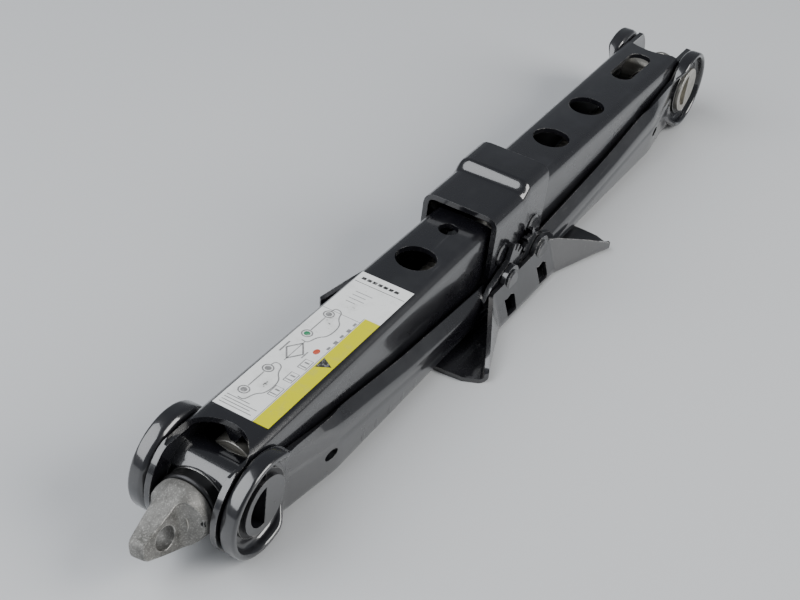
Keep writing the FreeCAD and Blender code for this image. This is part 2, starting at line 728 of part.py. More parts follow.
def screw_parts():
    """The thrust bearing, its cup, the collars and the end stop."""
    pieces = {
        "inner_race": screw_piece("inner_race", ring_outline(
            "seat_face", "inner_race_face", "trunnion_bore", "race_radius")),
        "outer_race": screw_piece("outer_race", ring_outline(
            "outer_race_face", "cup_floor", "trunnion_bore", "race_radius")),
        "bearing_cup": screw_piece("bearing_cup", [
            ("seat_face + cup_wall", "cup_radius"),
            ("lug_start", "cup_radius"),
            ("lug_start", "trunnion_bore"),
            ("cup_floor", "trunnion_bore"),
            ("cup_floor", "cup_radius - cup_wall"),
            ("seat_face + cup_wall", "cup_radius - cup_wall")]),
        "end_stop": screw_piece("end_stop", ring_outline(
            "spindle_end - stop_thick", "spindle_end", "screw_radius", "stop_radius"), end=1),
    }
    ball = doc.addObject("Part::Sphere", "ThrustBall")
    ball.setExpression("Radius", bound("ball_radius"))
    place_at(ball, x="-1 * (inner_race_face + ball_radius + ball_play)",
             y="ball_circle", z="trunnion_height")
    balls = []
    for index in range(int(values["ball_count"])):
        copy = doc.addObject("Part::Compound", "Ball%d" % index)
        copy.Links = [ball]
        copy.Placement = FreeCAD.Placement(
            FreeCAD.Vector(0, 0, 0), FreeCAD.Rotation(FreeCAD.Vector(1, 0, 0), 360.0 * index
                                                      / values["ball_count"]),
            FreeCAD.Vector(0, 0, values["trunnion_height"]))
        balls.append(copy)
    pieces["thrust_balls"] = group("thrust_balls", balls)
    return pieces


def cross_pin(name, along, radius, half_length, angle):
    """A pin through the screw's axis, turned about it from upright."""
    pin = doc.addObject("Part::Cylinder", name)
    pin.setExpression("Radius", bound(radius))
    pin.setExpression("Height", bound("2 * (%s)" % half_length))
    upright = group(name + "Upright", [pin])
    place_at(pin, z="-1 * (%s)" % half_length)
    place_at(upright, x="-1 * (%s)" % along, z="trunnion_height", axis=FreeCAD.Vector(1, 0, 0), angle=angle)
    return upright


def drive_lug():
    """The forged end that the crank hooks into: a round shoulder running out to a flat blade with an eye."""
    body = new_body("DriveLugForging")
    outline = new_sketch(body, "LugShoulder", "XY_Plane")
    add_outline(outline, [("-1 * (%s)" % along, radius) for along, radius in (
        ("lug_start", "0"),
        ("lug_start", "lug_radius"),
        ("lug_start + lug_shoulder", "lug_radius"),
        ("lug_eye_x - eye_radius", "0.5 * lug_thick"),
        ("lug_eye_x - eye_radius", "0"))])
    turn(body, outline, (plane_of(body, "X_Axis"), [""]))
    blade = new_sketch(body, "LugBlade", "XY_Plane")
    add_outline(blade, [("-1 * (%s)" % along, across) for along, across in (
        ("lug_start + 0.5 * lug_shoulder", "-0.5 * lug_radius"),
        ("lug_start + lug_shoulder", "-1 * lug_blade_half"),
        ("lug_eye_x", "-1 * lug_blade_half"),
        ("lug_tip", "-0.5 * lug_tip_width"),
        ("lug_tip", "0.5 * lug_tip_width"),
        ("lug_eye_x", "lug_blade_half"),
        ("lug_start + lug_shoulder", "lug_blade_half"),
        ("lug_start + 0.5 * lug_shoulder", "0.5 * lug_radius"))])
    pad(body, blade, "lug_thick")
    eye = new_sketch(body, "LugEye", "XY_Plane")
    add_circle(eye, "-1 * lug_eye_x", "0", "eye_radius")
    pocket(body, eye, "4 * lug_thick")
    bore = new_sketch(body, "LugBore", "YZ_Plane", "-1 * (lug_start + lug_bore_depth)")
    add_circle(bore, "0", "0", "screw_radius")
    pocket(body, bore, "2 * lug_bore_depth", both_ways=False, reversed_way=True)
    place_at(body, z="trunnion_height", axis=FreeCAD.Vector(1, 0, 0), angle="lug_turn")
    return body


def rating_label():
    """A printed sticker on the web of the front upper arm."""
    label = doc.addObject("Part::Box", "rating_label")
    label.setExpression("Length", bound("label_end - label_start"))
    label.setExpression("Width", bound("2 * label_half_width"))
    label.setExpression("Height", bound("label_thick"))
    place_at(label, x="-1 * label_end", y="-1 * label_half_width", z="web_height")
    return label


def spindle_parts():
    """The screw, cross-drilled for its two pins, and the pieces pinned to it."""
    bar = screw_piece("SpindleBar", [("-1 * spindle_end", "0"), ("lug_start + lug_bore_depth", "0"),
                                     ("lug_start + lug_bore_depth", "screw_radius"),
                                     ("-1 * spindle_end", "screw_radius")])
    drive_pin = cross_pin("drive_pin", "lug_start + 0.5 * lug_bore_depth", "drive_pin_radius",
                          "lug_radius - pin_inset", "lug_turn")
    collar_pin = cross_pin("lock_collar_pin", "collar_start - 0.5 * collar_length", "collar_pin_radius",
                           "collar_radius - pin_inset", "0")
    collar = screw_piece("CollarRing", ring_outline("collar_start - collar_length", "collar_start",
                                                    "screw_radius", "collar_radius"))
    drilled = cut_from("SpindleDrilled", bar, drive_pin)
    return {
        "spindle": cut_from("spindle", drilled, collar_pin),
        "drive_lug": cut_from("drive_lug", drive_lug(), drive_pin),
        "drive_pin": drive_pin,
        "lock_collar": cut_from("lock_collar", collar, collar_pin),
        "lock_collar_pin": collar_pin,
    }


def build_all():
    """Every sub-part by its node name."""
    front_holes = [("small_hole_x", "small_hole_radius"), ("front_hole_x", "large_hole_radius")]
    rear_holes = [("rear_hole_near_x", "large_hole_radius"), ("rear_hole_far_x", "large_hole_radius")]
    head_rivet = rivet("HeadRivet", "(upper_inner - pin_clearance)", "head_outer", "rivet_inner_head",
                       "rivet_inner_head", "head_pivot_height")
    base_rivet = rivet("BaseRivet", "(lower_inner - pin_clearance)", "foot_outer", "rivet_inner_head",
                       "rivet_outer_head", "foot_pivot_height")
    nodes = {
        "base_foot": base_foot(),
        "base_rivets": four_corners("base_rivets", base_rivet),
        "lower_arm_front": lower_arm("lower_arm_front", -1, True),
        "lower_arm_rear": lower_arm("lower_arm_rear", 1, False),
        "upper_arm_front": upper_arm("upper_arm_front", -1, True, front_holes, False,
                                     "front_mouth_x", "front_mouth_radius"),
        "upper_arm_rear": upper_arm("upper_arm_rear", 1, False, rear_holes, True,
                                    "rear_mouth_x", "rear_mouth_radius"),
        "head_saddle": head_saddle(),
        "head_rivets": four_corners("head_rivets", head_rivet),
        "front_trunnion": trunnion("front_trunnion", -1, "trunnion_bore", True),
        "rear_trunnion_nut": trunnion("rear_trunnion_nut", 1, "nut_bore", False),
        "front_circlips": circlips("front_circlips", -1),
        "rear_circlips": circlips("rear_circlips", 1),
        "rating_label": rating_label(),
    }
    nodes.update(screw_parts())
    nodes.update(spindle_parts())
    return nodes


def check_and_export(nodes):
    """Stops at any failed feature or bad shape, then writes one file for each sub-part."""
    doc.recompute()
    for piece in doc.Objects:
        if "Invalid" in piece.State or "Error" in piece.State:
            raise RuntimeError("%s failed: %s" % (piece.Name, piece.State))
    os.makedirs("parts", exist_ok=True)
    for name, piece in nodes.items():
        shape = piece.Shape
        if shape.isNull() or not shape.isValid() or not shape.Solids:
            raise RuntimeError("%s has no valid solid" % name)
        piece.Label = name
    for name, piece in nodes.items():
        piece.Shape.exportStep("parts/%s.step" % name)
        box = piece.Shape.BoundBox
        print("%-18s %2d solids  %9.1f mm3  x %.1f..%.1f  y %.1f..%.1f  z %.1f..%.1f" % (
            name, len(piece.Shape.Solids), piece.Shape.Volume,
            box.XMin, box.XMax, box.YMin, box.YMax, box.ZMin, box.ZMax))


check_and_export(build_all())
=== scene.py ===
import math
import bmesh
import bpy
import numpy as np
from mathutils import Matrix, Vector


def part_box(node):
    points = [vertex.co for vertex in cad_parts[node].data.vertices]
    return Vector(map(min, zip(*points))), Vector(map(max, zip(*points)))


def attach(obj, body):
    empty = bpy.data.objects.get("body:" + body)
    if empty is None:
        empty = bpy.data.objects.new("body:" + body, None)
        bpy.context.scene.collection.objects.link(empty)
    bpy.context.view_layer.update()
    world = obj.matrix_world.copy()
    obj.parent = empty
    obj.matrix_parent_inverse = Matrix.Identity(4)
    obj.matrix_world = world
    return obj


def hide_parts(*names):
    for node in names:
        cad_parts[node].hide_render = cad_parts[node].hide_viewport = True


# Scissor jack, folded flat. Metres, in the part's own frame: X along the screw with the crank
# end at -X, Z up, origin on the ground under the foot. Piece sizes below are in millimetres.

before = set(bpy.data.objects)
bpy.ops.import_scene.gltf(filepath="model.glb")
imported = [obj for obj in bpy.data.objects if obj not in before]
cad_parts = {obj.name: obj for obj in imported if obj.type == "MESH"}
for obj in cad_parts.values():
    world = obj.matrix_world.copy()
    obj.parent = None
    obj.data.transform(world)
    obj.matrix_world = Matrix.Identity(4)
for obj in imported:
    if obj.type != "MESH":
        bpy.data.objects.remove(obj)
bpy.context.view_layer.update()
mm = 0.001
print("stage: frame loaded")


class Wire:
    # a socket that takes part in ordinary arithmetic; every operator adds one Math node
    def __init__(self, maker, socket):
        self.maker = maker
        self.socket = socket

    def math(self, operation, *values):
        return self.maker.add("ShaderNodeMath", dict(operation=operation), *values)

    def __add__(self, other):
        return self.math("ADD", self, other)

    def __radd__(self, other):
        return self.math("ADD", other, self)

    def __sub__(self, other):
        return self.math("SUBTRACT", self, other)

    def __rsub__(self, other):
        return self.math("SUBTRACT", other, self)

    def __mul__(self, other):
        return self.math("MULTIPLY", self, other)

    def __rmul__(self, other):
        return self.math("MULTIPLY", other, self)

    def __truediv__(self, other):
        return self.math("DIVIDE", self, other)

    def __abs__(self):
        return self.math("ABSOLUTE", self)

    def above(self, low, high):
        # 0 below low, 1 above high, straight between; high may be the smaller one
        settings = dict(interpolation_type="LINEAR", clamp=True)
        return self.maker.add("ShaderNodeMapRange", settings, self, low, high, 0.0, 1.0)


class Finish:
    # one material, with its Principled shader ready
    def __init__(self, name):
        self.material = bpy.data.materials.new(name)
        self.material.use_nodes = True
        self.nodes = self.material.node_tree.nodes
        self.links = self.material.node_tree.links
        self.shader = self.nodes["Principled BSDF"]
        self.place = self.add("ShaderNodeTexCoord", {}, out="Object")

    def add(self, kind, settings, *values, out=0, **named):
        # a node of any type: its settings first, then values or links for its sockets
        node = self.nodes.new(kind)
        for key, value in settings.items():
            setattr(node, key, value)
        sockets = list(zip(node.inputs, values))
        sockets += [(node.inputs[key], value) for key, value in named.items()]
        for socket, value in sockets:
            if isinstance(value, Wire):
                self.links.new(value.socket, socket)
            elif value is not None:
                socket.default_value = value
        return Wire(self, node.outputs[out])

    def noise(self, scale, detail=4.0, roughness=0.55, stretch=None):
        place = self.place
        if stretch is not None:
            place = self.add("ShaderNodeMapping", {}, place, Scale=stretch)
        return self.add("ShaderNodeTexNoise", {}, Vector=place, Scale=scale, Detail=detail,
                        Roughness=roughness, out="Fac")

    def mix(self, factor, first, second):
        # colours are 3-tuples or wires
        node = self.nodes.new("ShaderNodeMix")
        node.data_type = "RGBA"
        factorAt, firstAt, secondAt = 0, 6, 7        # the colour mix's own sockets
        for place, value in ((factorAt, factor), (firstAt, first), (secondAt, second)):
            socket = node.inputs[place]
            if isinstance(value, Wire):
                self.links.new(value.socket, socket)
            elif isinstance(value, tuple):
                socket.default_value = (*value, 1.0)
            else:
                socket.default_value = value
        return Wire(self, node.outputs[2])        # the colour result

    def edges(self, radius):
        # near 1 on sharp edges: how far the rounded normal leans from the true one
        rounded = self.add("ShaderNodeBevel", dict(samples=6), radius, out="Normal")
        true = self.add("ShaderNodeNewGeometry", {}, out="Normal")
        dot = self.add("ShaderNodeVectorMath", dict(operation="DOT_PRODUCT"), rounded, true, out="Value")
        return 1.0 - dot

    def set(self, **values):
        for key, value in values.items():
            socket = self.shader.inputs[key.replace("_", " ")]
            if isinstance(value, Wire):
                self.links.new(value.socket, socket)
            elif isinstance(value, tuple):
                socket.default_value = (*value, 1.0)
            else:
                socket.default_value = value

    def bump(self, height, strength, distance, radius=0.0004):
        rounded = self.add("ShaderNodeBevel", dict(samples=6), radius, out="Normal")
        return self.add("ShaderNodeBump", {}, Strength=strength, Distance=distance, Height=height,
                        Normal=rounded, out="Normal")


def makeBlackPaint():
    # dipped gloss black over pressed sheet: soft orange peel, dust, scuffs and rubbed edges
    look = dict(paint=(0.006, 0.006, 0.008), dust=(0.045, 0.046, 0.05), scuff=(0.12, 0.12, 0.12),
                bare=(0.42, 0.41, 0.39))
    finish = Finish("wornBlackPaint")
    peel = finish.noise(420.0, 2.0)
    cloud = finish.noise(26.0, 5.0, 0.6)
    speck = finish.noise(900.0, 3.0, 0.7)
    scratch = finish.noise(60.0, 4.0, 0.7, stretch=(0.35, 9.0, 4.0))
    scuff = scratch.above(0.64, 0.70) * cloud.above(0.46, 0.60)
    edge = finish.edges(0.0011)
    rub = (edge * cloud.above(0.42, 0.62) * speck.above(0.40, 0.60)).above(0.10, 0.30)
    film = cloud.above(0.48, 0.78) * 0.4 + speck.above(0.66, 0.74) * 0.4
    colour = finish.mix(film, look["paint"], look["dust"])
    colour = finish.mix(scuff * 0.3, colour, look["scuff"])
    colour = finish.mix(rub, colour, look["bare"])
    roughness = 0.20 + cloud * 0.16 + scuff * 0.18 + speck.above(0.6, 0.75) * 0.12 + rub * 0.12
    finish.set(Base_Color=colour, Roughness=roughness, Metallic=rub * 0.9, Coat_Weight=0.8,
               Coat_Roughness=0.08, Coat_IOR=1.8,
               Normal=finish.bump(peel + speck * 0.08 - rub * 0.6, 0.07, 0.0003))
    return finish.material


def makeForgedSteel():
    # blasted drop forging: mottled grey scale, fine pits, brighter where it was rubbed
    look = dict(dark=(0.10, 0.098, 0.09), light=(0.30, 0.295, 0.28), rubbed=(0.62, 0.61, 0.58))
    finish = Finish("forgedGreySteel")
    cloud = finish.noise(95.0, 6.0, 0.65)
    grain = finish.noise(1500.0, 3.0, 0.7)
    pits = finish.noise(650.0, 2.0, 0.5)
    edge = finish.edges(0.0012)
    rub = (edge * 2.6 * cloud.above(0.34, 0.60)).above(0.12, 0.5)
    colour = finish.mix(cloud.above(0.33, 0.68), look["dark"], look["light"])
    colour = finish.mix(grain.above(0.5, 0.72) * 0.45, colour, look["rubbed"])
    colour = finish.mix(rub, colour, look["rubbed"])
    finish.set(Base_Color=colour, Metallic=0.65 + rub * 0.3, Roughness=0.52 - rub * 0.18 + grain * 0.12,
               Normal=finish.bump(grain * 0.5 + pits, 0.35, 0.0003, 0.0006))
    return finish.material


def makePlatedSteel(name, tint, roughness, soot):
    # turned and plated steel: fine turning marks across the axis, a dull film and grime
    look = dict(grime=(0.03, 0.028, 0.025), rubbed=(0.8, 0.79, 0.76))
    finish = Finish(name)
    turning = finish.noise(260.0, 2.0, stretch=(6.0, 0.4, 0.4))
    cloud = finish.noise(120.0, 5.0, 0.6)
    edge = finish.edges(0.0008)
    grime = cloud.above(0.45, 0.72) * soot
    colour = finish.mix(grime, tint, look["grime"])
    colour = finish.mix(edge.above(0.08, 0.4) * 0.7, colour, look["rubbed"])
    finish.set(Base_Color=colour, Metallic=0.95 - grime * 0.6,
               Roughness=roughness + turning * 0.12 + grime * 0.3,
               Normal=finish.bump(turning + cloud * 0.4, 0.12, 0.0002))
    return finish.material


sticker = dict(stripeSide=-5.0, stripeEnd=-100.0, ruleSide=-4.7, ruleEnd=-103.0, ruleHalf=0.14,
               line=0.42, thick=0.05)


def makeLabelPaper():
    # printed white film with a yellow stripe along its right side, and a thin rule round the stripe
    look = dict(white=(0.80, 0.81, 0.80), yellow=(0.62, 0.60, 0.0), line=(0.12, 0.12, 0.12),
                grime=(0.30, 0.29, 0.26), bare=(0.05, 0.05, 0.05))
    finish = Finish("printedLabel")
    along = finish.add("ShaderNodeSeparateXYZ", {}, finish.place, out="X") / mm
    across = finish.add("ShaderNodeSeparateXYZ", {}, finish.place, out="Y") / mm

    def nearLine(value, place):
        # 1 within half a rule's width of the place
        half = sticker["ruleHalf"]
        return 1.0 - abs(value - place).above(half - 0.04, half + 0.04)

    beside, before = sticker["stripeSide"], sticker["stripeEnd"]
    nearEnd = along.above(before + 0.2, before - 0.2)
    stripe = across.above(beside + 0.05, beside - 0.05) * nearEnd
    rule = nearLine(across, sticker["ruleSide"]) * nearEnd
    rule = rule + nearLine(along, sticker["ruleEnd"]) * across.above(beside + 0.1, beside + 0.3)
    smudge = finish.noise(130.0, 5.0, 0.65)
    fleck = finish.noise(700.0, 4.0, 0.7)
    grime = smudge.above(0.52, 0.8) * 0.4 + fleck.above(0.66, 0.72) * 0.5
    worn = (smudge + fleck * 0.25).above(0.80, 0.84)
    colour = finish.mix(stripe, look["white"], look["yellow"])
    colour = finish.mix(rule.above(0.3, 0.7) * 0.8, colour, look["line"])
    colour = finish.mix(grime, colour, look["grime"])
    colour = finish.mix(worn, colour, look["bare"])
    finish.set(Base_Color=colour, Roughness=0.42 + smudge * 0.2, Specular_IOR_Level=0.3,
               Normal=finish.bump(fleck, 0.08, 0.0001, 0.0002))
    return finish.material


def makePrintInk(name, tint):
    # thin print with pale flecks where the film shows through
    finish = Finish(name)
    fleck = finish.noise(900.0, 3.0, 0.7)
    colour = finish.mix(fleck.above(0.5, 0.7) * 0.45, tint, (0.6, 0.6, 0.6))
    finish.set(Base_Color=colour, Roughness=0.4 + fleck * 0.1)
    return finish.material


finishes = {
    "paint": makeBlackPaint(),
    "forged": makeForgedSteel(),
    "zinc": makePlatedSteel("zincPlatedSteel", (0.55, 0.53, 0.48), 0.26, 0.5),
    "dark": makePlatedSteel("blackenedSteel", (0.05, 0.05, 0.052), 0.30, 0.3),
    "ground": makePlatedSteel("groundBearingSteel", (0.62, 0.62, 0.63), 0.14, 0.25),
    "label": makeLabelPaper(),
    "ink": makePrintInk("blackPrint", (0.03, 0.03, 0.03)),
    "grey": makePrintInk("greyPrint", (0.22, 0.22, 0.22)),
    "green": makePrintInk("greenPrint", (0.03, 0.22, 0.10)),
    "red": makePrintInk("redPrint", (0.50, 0.08, 0.04)),
}
print("stage: finishes made")


def addMesh(name, points, faces):
    # points in millimetres
    mesh = bpy.data.meshes.new(name)
    mesh.from_pydata((np.asarray(points) * mm).tolist(), [], faces)
    piece = bpy.data.objects.new(name, mesh)
    bpy.context.scene.collection.objects.link(piece)
    turnOut(piece)
    return piece


def turnOut(piece):
    # merges doubles and makes every face point outwards
    shape = bmesh.new()
    shape.from_mesh(piece.data)
    bmesh.ops.remove_doubles(shape, verts=shape.verts, dist=1e-7)
    bmesh.ops.recalc_face_normals(shape, faces=shape.faces)
    shape.to_mesh(piece.data)
    shape.free()


def loft(name, rings, closedLoop=False):
    # rings is (stations, points round, 3); neighbours are joined by quads, and open ends are capped
    stations, pointsRound, _ = rings.shape
    index = np.arange(stations * pointsRound).reshape(stations, pointsRound)
    nextRound = np.roll(index, -1, axis=1)
    if closedLoop:
        nextStation, nextBoth = np.roll(index, -1, axis=0), np.roll(nextRound, -1, axis=0)
        quads = np.stack([index, nextRound, nextBoth, nextStation], axis=-1)
    else:
        quads = np.stack([index[:-1], nextRound[:-1], nextRound[1:], index[1:]], axis=-1)
    faces = quads.reshape(-1, 4).tolist()
    if not closedLoop:
        faces += [index[0].tolist(), index[-1].tolist()]
    return addMesh(name, rings.reshape(-1, 3), faces)


def roundedPath(points, reach, steps=5):
    # points is (corners, stations, 2); each inner corner becomes the curve
    # (1-t)^2 before + 2t(1-t) corner + t^2 after, starting reach away from the corner
    points = np.asarray(points, float)
    corner, before, after = points[1:-1], points[:-2], points[2:]
    reach = np.asarray(reach, float).reshape(-1, 1, 1)

    def towards(other):
        gap = other - corner
        size = np.linalg.norm(gap, axis=-1, keepdims=True)
        return corner + gap / size * np.minimum(reach, 0.48 * size)

    start, stop = towards(before), towards(after)
    t = np.linspace(0, 1, steps).reshape(1, -1, 1, 1)
    curve = (1 - t) ** 2 * start[:, None] + 2 * t * (1 - t) * corner[:, None] + t ** 2 * stop[:, None]
    curve = curve.reshape(-1, *points.shape[1:])
    return np.concatenate([points[:1], curve, points[-1:]])


def sheetSweep(name, xs, points, reach, thickness, side=1):
    # a folded sheet: its middle line (across, up) at each x is rounded at its corners, then
    # moved half the thickness to both sides along its normal, and the loops are lofted along x
    middle = roundedPath(np.asarray(points), reach)
    slope = np.gradient(middle, axis=0)
    slope /= np.linalg.norm(slope, axis=-1, keepdims=True)
    normal = np.stack([-slope[..., 1], slope[..., 0]], axis=-1)
    loop = np.concatenate([middle + normal * thickness / 2, (middle - normal * thickness / 2)[::-1]])
    rings = np.empty((len(xs), len(loop), 3))
    rings[..., 0] = (np.asarray(xs) * side)[:, None]
    rings[..., 1:] = np.swapaxes(loop, 0, 1)
    return loft(name, rings)


def arc(centre, radius, start, stop, steps=24):
    # points on a circle from one angle to another, in degrees
    angle = np.radians(np.linspace(start, stop, steps))
    return np.stack([centre[0] + radius * np.cos(angle), centre[1] + radius * np.sin(angle)], axis=-1)


def prism(name, outline, low, high, plane="XZ", side=1):
    # a flat outline carried straight from low to high along the third axis
    outline = np.asarray(outline, float)
    rings = np.empty((2, len(outline), 3))
    axes = dict(XZ=(0, 2, 1), XY=(0, 1, 2), YZ=(1, 2, 0))[plane]
    rings[..., axes[0]] = outline[:, 0]
    rings[..., axes[1]] = outline[:, 1]
    rings[..., axes[2]] = np.array([low, high])[:, None]
    rings[..., 0] *= side
    return loft(name, rings)


def lathe(name, profile, height, steps=96):
    # a closed (along X, radius) profile turned once round a line along X at a height
    profile = np.asarray(profile, float)
    angle = np.linspace(0, 2 * math.pi, steps, endpoint=False)[:, None]
    along, radius = profile[:, 0], profile[:, 1]
    rings = np.stack([along + 0 * angle, radius * np.cos(angle), radius * np.sin(angle) + height], axis=-1)
    return loft(name, rings, closedLoop=True)


def carve(piece, tools, operation="DIFFERENCE"):
    # boolean with each tool in turn; the tools are used up
    for tool in tools:
        modifier = piece.modifiers.new("carve", "BOOLEAN")
        modifier.object = tool
        modifier.operation = operation
        modifier.solver = "EXACT"
        seen = bpy.context.evaluated_depsgraph_get()
        made = bpy.data.meshes.new_from_object(piece.evaluated_get(seen))
        piece.modifiers.clear()
        piece.data = made
        bpy.data.objects.remove(tool)
    return piece


def join(piece, others):
    # puts closed shells that run into each other in one mesh; the others are used up
    whole = bmesh.new()
    for part in [piece] + list(others):
        whole.from_mesh(part.data)
    whole.to_mesh(piece.data)
    whole.free()
    for part in others:
        bpy.data.objects.remove(part)
    return piece


def show(piece, body, finish, nodes=(), sharpAngle=35.0):
    # gives a made piece its finish, its body and the CAD nodes that it stands for
    piece.data.materials.clear()
    piece.data.materials.append(finishes[finish])
    for polygon in piece.data.polygons:
        polygon.material_index = 0
    piece.data.shade_smooth()
    piece.data.set_sharp_from_angle(angle=math.radians(sharpAngle))
    if nodes:
        piece.name = nodes[0] + "_surface"
        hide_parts(*nodes)
    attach(piece, body)
    return piece


def keepNode(name, finish):
    # a CAD node that stays as it is, with a better finish
    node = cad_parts[name]
    node.data.materials.clear()
    node.data.materials.append(finishes[finish])
    return node


def nodeBox(name):
    low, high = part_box(name)
    return np.array(low) / mm, np.array(high) / mm


def nodeMiddle(name):
    low, high = nodeBox(name)
    return (low + high) / 2


def nodeHalf(name):
    low, high = nodeBox(name)
    return (high - low) / 2


# places that several pieces share, read from the frame
trunnionX = nodeMiddle("rear_trunnion_nut")[0]
trunnionZ = nodeMiddle("spindle")[2]
headTop = nodeBox("head_saddle")[1][2]
webTop, printBase = nodeBox("rating_label")[0][2], nodeBox("rating_label")[1][2]
pivotX = nodeHalf("head_rivets")[0] - nodeHalf("head_rivets")[2]        # less a rivet head's radius
headPivotZ = nodeMiddle("head_rivets")[2]
footPivotZ = nodeMiddle("base_rivets")[2]
screwRadius = nodeHalf("spindle")[2]


def gearOutline(centre, rise, odd, span=58.0, teeth=20):
    # a toothed sector: angle 0 points at the other arm; each tooth is a trapezoid between the
    # root circle and the tip circle, on a hub
    root, tip, hub, margin = pivotX - 1.6, pivotX + 1.15, 6.0, 14.0
    flanks = np.array([-0.31, -0.13, 0.13, 0.31])        # a tooth's corners, in pitches
    pitch = 360.0 / teeth
    first = 0.0 if odd else 0.5
    middles = (first + np.arange(int(np.ceil(span / pitch - first)) + 1)) * pitch
    angles = (middles[:, None] + pitch * flanks).ravel()
    radii = np.tile([root, tip, tip, root], len(middles))
    angles = np.concatenate([[middles[-1] + margin, 0.0], angles])
    radii = np.concatenate([[hub, hub], radii])
    turn = np.radians(angles)
    return np.stack([centre[0] - radii * np.cos(turn), centre[1] + rise * radii * np.sin(turn)], axis=-1)


upperArm = dict(halfInner=13.0, halfOuter=14.0, sheet=2.2, bend=3.6, flange=14.0, webStart=19.0,
                tongue=7.5, ear=19.0, flangeEnd=7.9, pinHole=10.9, rivetHole=4.1,
                tabHalf=5.0, tabTip=1.4, tabLow=28.5, tabFrom=169.4, tabTo=171.2)


def makeUpperArm(name, side, mouth, holes, slot=None):
    # a channel open downwards; its side outline is one closed line round the ear and the tongue
    size = upperArm
    xs = np.concatenate([np.linspace(4.0, 60.0, 12), np.linspace(70.0, 200.0, 30)])
    half = np.interp(xs, [20.0, 150.0], [size["halfInner"], size["halfOuter"]]) - size["sheet"] / 2
    top = np.full_like(xs, webTop - size["sheet"] / 2)
    low = np.full_like(xs, 0.2)
    corners = [np.stack(pair, axis=-1) for pair in ((-half, low), (-half, top), (half, top), (half, low))]
    arm = sheetSweep(name, xs, corners, size["bend"], size["sheet"], side)
    over, under = webTop + 1.0, webTop - 4.0
    outline = np.concatenate([
        arc((pivotX, headPivotZ), size["tongue"], 270, 90, 16),
        [(size["webStart"], webTop - 0.2), (size["webStart"], over), (trunnionX + 2.0, over)],
        arc((trunnionX, trunnionZ), size["ear"], 84, -137, 48),
        [(trunnionX - 24.0, size["flangeEnd"] + 2.6), (trunnionX - 36.0, size["flange"]),
         (2 * pivotX, size["flange"])]])
    carve(arm, [prism("armSide", outline, -30, 30, "XZ", side)], "INTERSECT")
    mouthX, mouthRadius = mouth
    tools = [prism("armMouth", arc((mouthX, 0), mouthRadius, 0, 354, 60), under + 0.7, over, "XY", side)]
    tools += [prism("armHole", arc((x, 0), radius, 0, 352, 40), under, over, "XY", side)
              for x, radius in holes]
    if slot:
        start, stop, width = slot
        rounded = np.concatenate([arc((stop - width, 0), width, -90, 90, 14),
                                  arc((start + width, 0), width, 90, 270, 14)])
        tools.append(prism("armSlot", rounded, under, over, "XY", side))
    pinHole = arc((trunnionX, trunnionZ), size["pinHole"], 0, 350, 48)
    rivetHole = arc((pivotX, headPivotZ), size["rivetHole"], 0, 345, 24)
    tools.append(prism("armPinHole", pinHole, -30, 30, "XZ", side))
    tools.append(prism("armRivetHole", rivetHole, -30, 30, "XZ", side))
    carve(arm, tools)
    if not slot:
        # the front arm has a pointed tab hanging under its mouth
        wide, tip, low = size["tabHalf"], size["tabTip"], size["tabLow"]
        tab = [(-wide, webTop - 2.0), (wide, webTop - 2.0), (tip, low + 2.0), (0.0, low), (-tip, low + 2.0)]
        join(arm, [prism("armTab", tab, size["tabFrom"], size["tabTo"], "YZ", side)])
    return show(arm, name, "paint", [name])


makeUpperArm("upper_arm_front", -1, (186.0, 13.5), [(31.0, 4.0), (56.0, 8.0)])
makeUpperArm("upper_arm_rear", 1, (190.0, 21.5), [(60.0, 8.0), (96.5, 8.0)], (131.0, 162.0, 5.3))
print("stage: upper arms made")

lowerArm = dict(half=20.1, sheet=2.2, ear=19.0, disc=16.9, inside=14.3, lipTop=21.0, lipRound=1.2,
                pinHole=10.9, panSpace=14.0, lean=4.0, drop=4.6, crease=0.5, tongue=7.5, rivetHole=4.1,
                plateIn=17.95, plateOut=20.05, teethIn=18.0, teethOut=20.0, oval=(141.5, 13.6),
                tickIn=18.6, tickOut=20.5, ticks=(85.0, 94.0, 103.0, 112.0, 121.0))
lipSweep = dict(full=118.0, gone=152.0, tilt=4.0)        # degrees from the arm's far end


def makePan(name, profile, plane, hand, side):
    # a turned pan whose lip stands above the plane only round the arm's end: what the profile
    # has above the plane is scaled by a share that fades to 0 towards the arm
    angle = np.linspace(-180, 180, 145, endpoint=False)[:, None]
    sweep = lipSweep
    share = np.clip((sweep["gone"] - np.abs(angle - sweep["tilt"])) / (sweep["gone"] - sweep["full"]), 0, 1)
    share = share * share * (3 - 2 * share)
    proud = np.clip(profile[:, 0] - plane, 0, None)
    along = profile[:, 0] - proud * (1 - share)
    radius, turn = profile[:, 1], np.radians(angle)
    rings = np.stack([side * (trunnionX + radius * np.cos(turn)), hand * along,
                      trunnionZ + radius * np.sin(turn)], axis=-1)
    return loft(name, rings, closedLoop=True)


